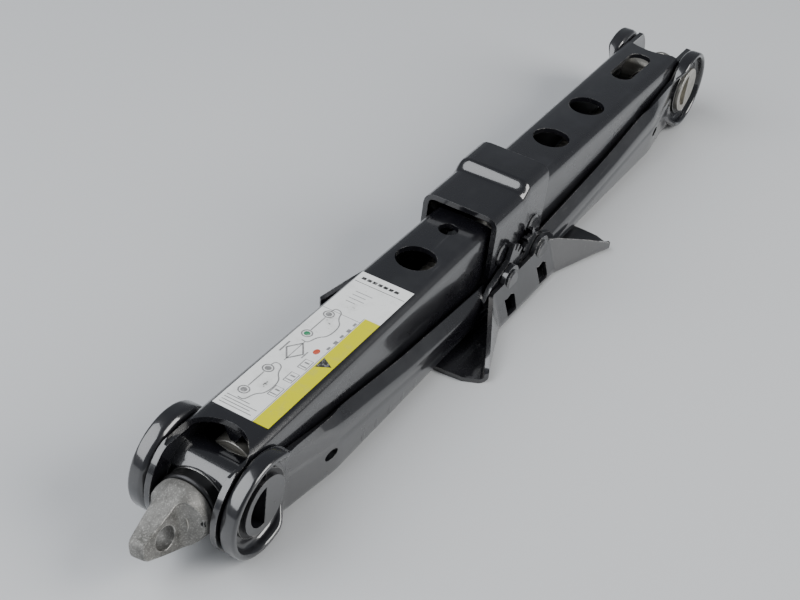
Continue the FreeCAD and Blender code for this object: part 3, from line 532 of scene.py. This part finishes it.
def makeLowerArm(name, side, odd):
    # a channel open upwards, narrowing to the plane of its ears, with the top edges leaning in
    size = lowerArm
    xs = np.concatenate([np.linspace(24.0, 150.0, 40), np.linspace(152.0, 171.0, 14)])
    narrowing = np.interp(xs, [138.0, 164.0], [0.0, 1.0])
    half = size["half"] + (size["disc"] - size["half"]) * narrowing - size["sheet"] / 2
    floor = np.interp(xs, [24.0, 166.0], [3.3, 1.3]) + size["sheet"] / 2
    top = np.interp(xs, [24.0, 28.0, 60.0, 91.0, 128.0, 150.0, 162.0, 168.0, 172.0],
                    [15.6, 16.0, 18.2, 20.6, 25.6, 28.2, 29.8, 32.0, 34.6])
    crease = np.interp(xs, [24.0, 34.0, 139.6, 172.0], [7.0, 7.2, 16.8, 20.0])
    lean = np.interp(xs, [24.0, 130.0, 160.0, 172.0], [size["lean"], size["lean"], 0.6, -2.0])
    step = size["crease"]
    right = [np.stack(pair, axis=-1) for pair in (
        (half - lean, top - 0.8), (half, top - size["drop"]), (half, crease + 0.7),
        (half + step, crease - 0.7), (half + step * 0.6, floor))]
    left = [point * (-1, 1) for point in right]
    bends = [1.8, 0.6, 0.6, 2.6, 2.6, 0.6, 0.6, 1.8]
    arm = sheetSweep(name, xs, right + left[::-1], bends, size["sheet"], side)
    beyond, webStop = trunnionX + 30, 158
    webEnd = [(webStop, -5), (beyond, -5), (beyond, 8), (webStop, 8)]
    panSpace = arc((trunnionX, trunnionZ), size["panSpace"], 0, 355, 72)
    oval = arc((0, 0), 1.0, 0, 350, 24) * (3.4, 2.1) + size["oval"]
    carve(arm, [prism("webEnd", webEnd, -17.0, 17.0, "XZ", side),
                prism("panSpace", panSpace, -30, 30, "XZ", side),
                prism("armOval", oval, -30, 30, "XZ", side)])
    inside, disc, ear, lipRound = size["inside"], size["disc"], size["ear"], size["lipRound"]
    lipMiddle = size["lipTop"] - lipRound
    profile = np.concatenate([
        [(inside, size["pinHole"]), (inside, 14.8)],
        arc((inside + 2.6, 16.4), 2.6, 180, 90, 8),
        [(lipMiddle, ear)],
        arc((lipMiddle, ear - lipRound), lipRound, 90, -90, 9)[1:],
        [(disc + 2.2, 16.4)],
        arc((disc + 2.0, 14.4), 2.0, 90, 180, 7)[1:],
        [(disc, 12.6), (disc, size["pinHole"])]])
    parts = [makePan("armPan", profile, disc, hand, side) for hand in (1, -1)]
    tongue = np.concatenate([
        arc((pivotX, footPivotZ), size["tongue"], 255, 100, 14),
        [(26.0, 17.0), (31.0, 12.6), (31.0, 5.4), (25.0, 4.4)]])
    rivetHole = arc((pivotX, footPivotZ), size["rivetHole"], 0, 345, 24)
    teeth = gearOutline((pivotX, footPivotZ), 1, odd)
    for hand in (-1, 1):
        low, high = sorted((hand * size["plateIn"], hand * size["plateOut"]))
        plate = prism("armTongue", tongue, low, high, "XZ", side)
        carve(plate, [prism("armRivetHole", rivetHole, -30, 30, "XZ", side)])
        low, high = sorted((hand * size["teethIn"], hand * size["teethOut"]))
        parts += [plate, prism("armTeeth", teeth, low, high, "XZ", side)]
    for place in size["ticks"] if side < 0 else ():
        bar = arc((0, 0), 1.0, 0, 345, 24) * (1.0, 2.0) + (place, 8.4 - 0.01 * place)
        parts.append(prism("armTick", bar, -size["tickOut"], -size["tickIn"], "XZ", side))
    join(arm, parts)
    return show(arm, name, "paint", [name])


makeLowerArm("lower_arm_front", -1, True)
makeLowerArm("lower_arm_rear", 1, False)
print("stage: lower arms made")

head = dict(half=16.5, sheet=2.2, long=22.5, bottom=17.0, lowTop=45.5, rampEnd=6.0, bend=4.2,
            rivetHole=4.0)


def makeHead():
    # a saddle open downwards, whose top rises over a short ramp 3t^2 - 2t^3
    size = head
    xs = np.concatenate([np.linspace(-size["long"], -1.5, 8), np.linspace(-1.0, 7.0, 17),
                         np.linspace(7.5, size["long"], 8)])
    ramp = np.clip(xs / size["rampEnd"], 0, 1)
    ramp = ramp * ramp * (3 - 2 * ramp)
    top = size["lowTop"] + (headTop - size["lowTop"]) * ramp - size["sheet"] / 2
    half = np.full_like(xs, size["half"] - size["sheet"] / 2)
    low = np.full_like(xs, size["bottom"])
    corners = [np.stack(pair, axis=-1) for pair in ((-half, low), (-half, top), (half, top), (half, low))]
    saddle = sheetSweep("head_saddle", xs, corners, size["bend"], size["sheet"])
    for along in (-pivotX, pivotX):
        hole = arc((along, headPivotZ), size["rivetHole"], 0, 345, 24)
        carve(saddle, [prism("headHole", hole, -30, 30)])
    return show(saddle, "head", "paint", ["head_saddle"])


makeHead()
print("stage: head made")


foot = dict(sheet=2.0, rearBend=21.0, frontBend=29.0, sideY=22.4, lowY=28.0, height=16.0, rearReach=0.86,
            cornerX=60.0, cornerY=39.0, noseX=65.0, noseY=27.0, tip=4.5, bend=3.0, ear=6.5, rivetHole=4.0,
            windows=(-17.5, 11.0))


def makeFoot():
    # an upward-open tray: its walls lean out to the ground and splay into four wings past the bends
    size = foot
    xs = np.linspace(-66.0, 66.0, 89)
    bend = np.where(xs < 0, size["frontBend"], size["rearBend"])
    reach = np.clip((np.abs(xs) - bend) / (size["cornerX"] - bend), 0, 2)
    low = size["lowY"] + (size["cornerY"] - size["lowY"]) * reach - size["sheet"] / 2
    half = size["sideY"] + (size["cornerY"] - size["sideY"]) * reach - size["sheet"] / 2
    height = np.interp(reach, [0.0, 0.12, 0.6, 0.95, 1.1], [size["height"], 15.5, 9.6, size["tip"], 3.6])
    floor = np.full_like(xs, size["sheet"] / 2)
    corners = [np.stack(pair, axis=-1) for pair in (
        (-half, height), (-low, floor), (low, floor), (half, height))]
    tray = sheetSweep("base_foot", xs, corners, size["bend"], size["sheet"])
    noseX, noseY, cornerX, cornerY = size["noseX"], size["noseY"], size["cornerX"], size["cornerY"]
    plan = np.array([(noseX, noseY - 4), (noseX - 0.6, noseY + 3), (cornerX + 1.4, cornerY - 3.0),
                     (cornerX - 1.6, cornerY - 0.4), (cornerX - 4.0, cornerY + 3.0),
                     (size["rearBend"], cornerY + 3.0)])
    outline = np.concatenate([plan, plan[::-1] * (-1, 1), plan * (-1, -1), plan[::-1] * (1, -1)])
    carve(tray, [prism("trayPlan", outline, -1, 40, "XY")], "INTERSECT")
    # the rear half is shorter: beyond the bend every x is drawn in by the same share
    places = np.empty(len(tray.data.vertices) * 3)
    tray.data.vertices.foreach_get("co", places)
    along = places[0::3] / mm
    rear = size["rearBend"] + (along - size["rearBend"]) * size["rearReach"]
    places[0::3] = np.where(along > size["rearBend"], rear, along) * mm
    tray.data.vertices.foreach_set("co", places)
    window = np.array([(-3.9, 3.4), (3.4, 3.1), (4.2, 9.4), (1.6, 10.6), (-1.9, 10.1), (-4.0, 10.6)])
    carve(tray, [prism("trayWindow", window + (x, 0), -50, 50) for x in size["windows"]])
    ears = []
    for hand in (-1, 1):
        for along in (-1, 1):
            middle = (along * pivotX, footPivotZ)
            outline = np.concatenate([arc(middle, size["ear"], -10, 190, 20),
                                      [(middle[0] - 7.5, 12.0), (middle[0] + 7.5, 12.0)]])
            low, high = sorted((hand * (size["sideY"] - size["sheet"]), hand * size["sideY"]))
            ear = prism("trayEar", outline, low, high)
            carve(ear, [prism("rivetHole", arc(middle, size["rivetHole"], 0, 345, 24), -50, 50)])
            ears.append(ear)
    join(tray, ears)
    return show(tray, "base", "paint", ["base_foot"])


makeFoot()
print("stage: foot made")


screw = dict(pitch=3.0, depth=1.3, grooveHalf=0.34, flank=0.16, threadFrom=-163.0, samples=8, turnSteps=24)


def makeSpindle():
    # the radius at each point is that of a trapezoidal groove, whose place along the screw moves
    # by one pitch for each turn
    size = screw
    low, high = nodeBox("spindle")
    xs = np.arange(low[0], high[0], size["pitch"] / size["samples"])[:, None]
    angle = np.linspace(0, 2 * math.pi, size["turnSteps"], endpoint=False)[None, :]
    phase = (xs / size["pitch"] + angle / (2 * math.pi)) % 1.0
    groove = np.clip((size["grooveHalf"] - np.abs(phase - 0.5)) / size["flank"], 0, 1)
    threaded = np.clip((xs - size["threadFrom"]) / size["pitch"], 0, 1)
    radius = screwRadius - size["depth"] * groove * threaded
    rings = np.stack([xs + 0 * angle, radius * np.cos(angle), radius * np.sin(angle) + trunnionZ], axis=-1)
    return show(loft("spindle", rings), "spindle", "zinc", ["spindle"])


makeSpindle()

lug = dict(radius=11.0, shoulder=3.4, tipHalf=3.0, tipThick=3.6, tipRound=1.2, lipRound=0.8, squareness=2.6,
           bladeTip=3.0, bladeRoot=5.4, bladeLong=18.0, scoopX=15.0, scoopRadius=4.0, scoopStop=3.6,
           eye=4.2, eyeX=9.6, turn=80.0)


def turnedAboutScrew(piece, degrees):
    # turns a finished mesh about the screw's axis, in the mesh itself
    centre = Matrix.Translation((0, 0, trunnionZ * mm))
    piece.data.transform(centre @ Matrix.Rotation(math.radians(degrees), 4, "X") @ centre.inverted())
    return piece


def makeLug():
    # rings of a superellipse whose half width, half depth and squareness change towards the tip
    size = lug
    low, high = nodeBox("drive_lug")
    start, tip = high[0], low[0]
    way = np.linspace(0, 1, 40)[:, None]
    xs = start + (tip - start) * way
    shoulder = size["shoulder"] / (start - tip)
    taper = np.clip((way - shoulder) / (1 - shoulder), 0, 1)
    wide = size["radius"] + (size["tipHalf"] - size["radius"]) * taper
    deep = size["radius"] + (size["tipThick"] - size["radius"]) * taper ** 0.9
    end = np.clip((way - 0.94) / 0.06, 0, 1)
    lip = np.clip(way / 0.03, 0, 1)
    rounding = size["tipRound"] * end ** 2 + size["lipRound"] * (1 - lip)
    wide, deep = wide - rounding, deep - rounding
    power = 2 / (2 + size["squareness"] * taper)
    angle = np.linspace(0, 2 * math.pi, 64, endpoint=False)[None, :]
    across = wide * np.sign(np.cos(angle)) * np.abs(np.cos(angle)) ** power
    up = deep * np.sign(np.sin(angle)) * np.abs(np.sin(angle)) ** power
    rings = np.stack([xs + 0 * angle, across, up + trunnionZ], axis=-1)
    forging = loft("drive_lug", rings)
    slope = (size["bladeRoot"] - size["bladeTip"]) / size["bladeLong"]
    high, stop = trunnionZ + 30, start - size["scoopStop"]
    scoop = np.concatenate([
        [(tip - 5, high), (tip - 5, trunnionZ + size["bladeTip"] - 5 * slope)],
        [(tip + 9.0, trunnionZ + size["bladeTip"] + 9 * slope - 0.5)],
        arc((tip + size["scoopX"], trunnionZ + size["bladeRoot"] + 2.6), size["scoopRadius"], -100, -10, 12),
        [(stop, trunnionZ + 12.5), (stop, high)]])
    other = scoop * (1, -1) + (0, 2 * trunnionZ)
    eye = arc((tip + size["eyeX"], 0), size["eye"], 0, 352, 40)
    carve(forging, [prism("lugScoop", scoop, -20, 20), prism("lugScoopBack", other, -20, 20),
                    prism("lugEye", eye, -10, 50, "XY")])
    turnedAboutScrew(forging, size["turn"])
    return show(forging, "spindle", "forged", ["drive_lug"], 40)


makeLug()


def makeCup():
    # a drawn cup with rolled lips at both ends
    low, high = nodeBox("bearing_cup")
    start, stop, radius = high[0], low[0], (high[2] - low[2]) / 2
    profile = np.concatenate([
        arc((start - 0.5, radius - 0.45), 0.45, 0, 180, 8), [(stop + 1.6, radius - 0.2)],
        arc((stop + 1.2, radius - 1.2), 1.2, 90, 180, 8),
        [(stop, 6.2), (stop + 0.8, 6.2), (stop + 0.8, radius - 1.1), (start - 0.6, radius - 1.0)]])
    cup = lathe("bearing_cup", profile, trunnionZ)
    return show(cup, "spindle", "dark", ["bearing_cup"])


makeCup()
print("stage: screw made")


def printed(name, points, width, finish, closed=False):
    # a flat printed line: a ribbon of the given width along points, on top of the label
    points = np.asarray(points, float)
    if closed:
        points = np.concatenate([points, points[:1]])
    slope = np.gradient(points, axis=0)
    slope /= np.linalg.norm(slope, axis=1, keepdims=True)
    normal = np.stack([-slope[:, 1], slope[:, 0]], axis=1) * width / 2
    rings = np.empty((len(points), 4, 3))
    rings[:, :2, :2] = (points + normal)[:, None]
    rings[:, 2:, :2] = (points - normal)[:, None]
    rings[..., 2] = printBase + sticker["thick"] * np.array([0, 1, 1, 0])
    return show(loft(name, rings), "upper_arm_front", finish)


def patch(name, outline, finish):
    # a filled print inside an outline
    piece = prism(name, outline, printBase, printBase + sticker["thick"], "XY")
    return show(piece, "upper_arm_front", finish)


def blob(name, centre, size, finish):
    # a filled oval
    return patch(name, arc((0, 0), 1.0, 0, 340, 18) * size + centre, finish)


def bars(name, start, step, lengths, width, finish):
    # rows of small print, as plain bars
    for row, length in enumerate(lengths):
        left = np.array(start) + np.array(step) * row
        printed("%s%d" % (name, row), [left, left + (0, -length)], width, finish)


def softened(points, rounds=3):
    # cuts the corners of an open line, each time at a quarter of every run
    points = np.asarray(points, float)
    for _ in range(rounds):
        here, there = points[:-1], points[1:]
        cut = np.stack([0.75 * here + 0.25 * there, 0.25 * here + 0.75 * there], axis=1)
        points = np.concatenate([points[:1], cut.reshape(-1, 2), points[-1:]])
    return points


def makeCarPicture(name, x, y, wheels):
    # a plain saloon seen from its side, wheels towards +Y and roof towards -Y
    roof = [(x - 11.0, y), (x - 11.4, y - 2.6), (x - 6.6, y - 3.6), (x - 4.2, y - 6.4), (x + 3.4, y - 6.6),
            (x + 6.6, y - 3.6), (x + 10.6, y - 2.8), (x + 11.2, y + 0.2), (x + 9.0, y + 0.6)]
    printed(name + "Roof", softened(roof), sticker["line"], "grey")
    printed(name + "Sill", [(x - 4.6, y + 0.4), (x + 4.4, y + 0.4)], sticker["line"], "grey")
    for index, (offset, tint) in enumerate(((-7.0, wheels[0]), (6.8, wheels[1]))):
        printed("%sTyre%d" % (name, index), arc((x + offset, y + 0.4), 1.9, 0, 345, 24), 0.5, "grey", True)
        blob("%sHub%d" % (name, index), (x + offset, y + 0.4), (1.2, 1.2), tint)


def makeJackPicture(x, y):
    # a small raised scissor jack: a diamond, a base line and a crank
    diamond = [(x - 5.0, y), (x, y - 3.4), (x + 5.0, y), (x, y + 3.4), (x - 5.0, y)]
    for index in range(4):
        printed("pictureArm%d" % index, diamond[index:index + 2], 0.6, "grey")
    printed("pictureScrew", [(x - 6.4, y), (x + 6.2, y)], 0.3, "grey")
    printed("pictureBase", [(x - 3.2, y + 4.2), (x + 3.2, y + 4.2)], 0.6, "grey")
    printed("pictureHead", [(x - 2.0, y - 4.0), (x + 2.0, y - 4.0)], 0.5, "grey")


def makeIcons():
    # three small frames with two bars in each
    for index, x in enumerate((-151.5, -142.5, -134.0)):
        frameLine = [(x - 2.6, -0.9), (x + 2.6, -0.9), (x + 2.6, -4.0), (x - 2.6, -4.0)]
        printed("iconFrame%d" % index, frameLine, 0.32, "grey", True)
        printed("iconBarA%d" % index, [(x - 1.4, -1.2), (x - 1.4, -3.7)], 0.5, "grey")
        printed("iconBarB%d" % index, [(x + 0.9, -1.6), (x + 0.9, -3.4)], 0.7, "grey")


def makeLabelPrint():
    makeCarPicture("lowCar", -150.0, 6.0, ("grey", "grey"))
    makeCarPicture("highCar", -112.5, 6.2, ("green", "grey"))
    makeJackPicture(-130.0, 4.6)
    blob("crankMark", (-126.0, -1.6), (1.6, 1.1), "red")
    makeIcons()
    patch("stripeMark", [(-133.0, -5.5), (-127.0, -5.5), (-130.0, -10.3)], "ink")
    bars("smallPrint", (-166.2, 9.6), (1.45, 0.0), (12.5, 11.0, 12.8, 9.0), 0.34, "grey")
    bars("edgePrint", (-122.0, -3.4), (4.2, 0.0), (0.9, 1.3, 0.9, 1.2, 0.9), 1.9, "grey")
    printed("headRule", [(-82.5, 10.4), (-82.5, -10.6)], 0.22, "ink")
    bars("headPrint", (-79.6, 9.0), (0.0, -2.3), (1.7, 1.7, 1.7, 1.7, 1.7, 1.7, 1.7), 1.5, "ink")
    bars("notePrint", (-88.0, 6.5), (-2.3, 0.0), (7.0, 5.5, 6.2, 4.0), 0.3, "grey")


makeLabelPrint()
print("stage: label printed")


keptNodes = dict(
    base_rivets="paint", head_rivets="paint", front_trunnion="paint", rear_trunnion_nut="zinc",
    front_circlips="dark", rear_circlips="dark", inner_race="ground", outer_race="ground",
    thrust_balls="ground", end_stop="zinc", drive_pin="dark", lock_collar="zinc",
    lock_collar_pin="dark", rating_label="label")
for nodeName, finishName in keptNodes.items():
    keepNode(nodeName, finishName)
print("stage: other nodes finished")


floorLook = dict(half=9.0, colour=(0.62, 0.63, 0.64, 1), roughness=0.45)        # metres


def makeFloor():
    mesh = bpy.data.meshes.new("studioFloor")
    corners = np.array([(-1, -1, 0), (1, -1, 0), (1, 1, 0), (-1, 1, 0)]) * floorLook["half"]
    mesh.from_pydata(corners.tolist(), [], [(0, 1, 2, 3)])
    floor = bpy.data.objects.new("studioFloor", mesh)
    bpy.context.scene.collection.objects.link(floor)
    paper = bpy.data.materials.new("paleFloor")
    paper.use_nodes = True
    shader = paper.node_tree.nodes["Principled BSDF"]
    shader.inputs["Base Color"].default_value = floorLook["colour"]
    shader.inputs["Roughness"].default_value = floorLook["roughness"]
    mesh.materials.append(paper)


lights = {
    "leftPanel": dict(place=(-0.95, 0.75, 1.15), size=1.7, power=36, tint=(0.95, 0.97, 1.0)),
    "rightPanel": dict(place=(0.35, -1.25, 0.85), size=1.0, power=24, tint=(1.0, 0.99, 0.97)),
}
skyLook = dict(colour=(0.80, 0.85, 0.92, 1), strength=0.22)


def makeLights():
    for name, panel in lights.items():
        data = bpy.data.lights.new(name, "AREA")
        data.shape = "SQUARE"
        data.size = panel["size"]
        data.energy = panel["power"]
        data.color = panel["tint"]
        lamp = bpy.data.objects.new(name, data)
        lamp.location = panel["place"]
        towardsJack = -Vector(panel["place"])
        lamp.rotation_euler = towardsJack.to_track_quat("-Z", "Y").to_euler()
        bpy.context.scene.collection.objects.link(lamp)
    world = bpy.data.worlds.new("studioWorld")
    world.use_nodes = True
    sky = world.node_tree.nodes["Background"]
    sky.inputs["Color"].default_value = skyLook["colour"]
    sky.inputs["Strength"].default_value = skyLook["strength"]
    bpy.context.scene.world = world


view = dict(place=(-464.9, -198.9, 353.5), right=(0.5103, -0.8536, 0.1046), up=(0.4686, 0.3779, 0.7985),
            lens=66.4, sensor=36.0, nearest=0.05)


def makeCamera():
    # the camera's own axes are columns: right, up and back
    right = Vector(view["right"])
    back = right.cross(Vector(view["up"])).normalized()
    up = back.cross(right).normalized()
    turn = Matrix((right.normalized(), up, back)).transposed().to_4x4()
    data = bpy.data.cameras.new("viewCamera")
    data.lens = view["lens"]
    data.sensor_width = view["sensor"]
    data.clip_start = view["nearest"]
    camera = bpy.data.objects.new("viewCamera", data)
    camera.matrix_world = Matrix.Translation(Vector(view["place"]) * mm) @ turn
    bpy.context.scene.collection.objects.link(camera)
    bpy.context.scene.camera = camera


makeFloor()
makeLights()
makeCamera()
print("stage: floor, lights and camera made")
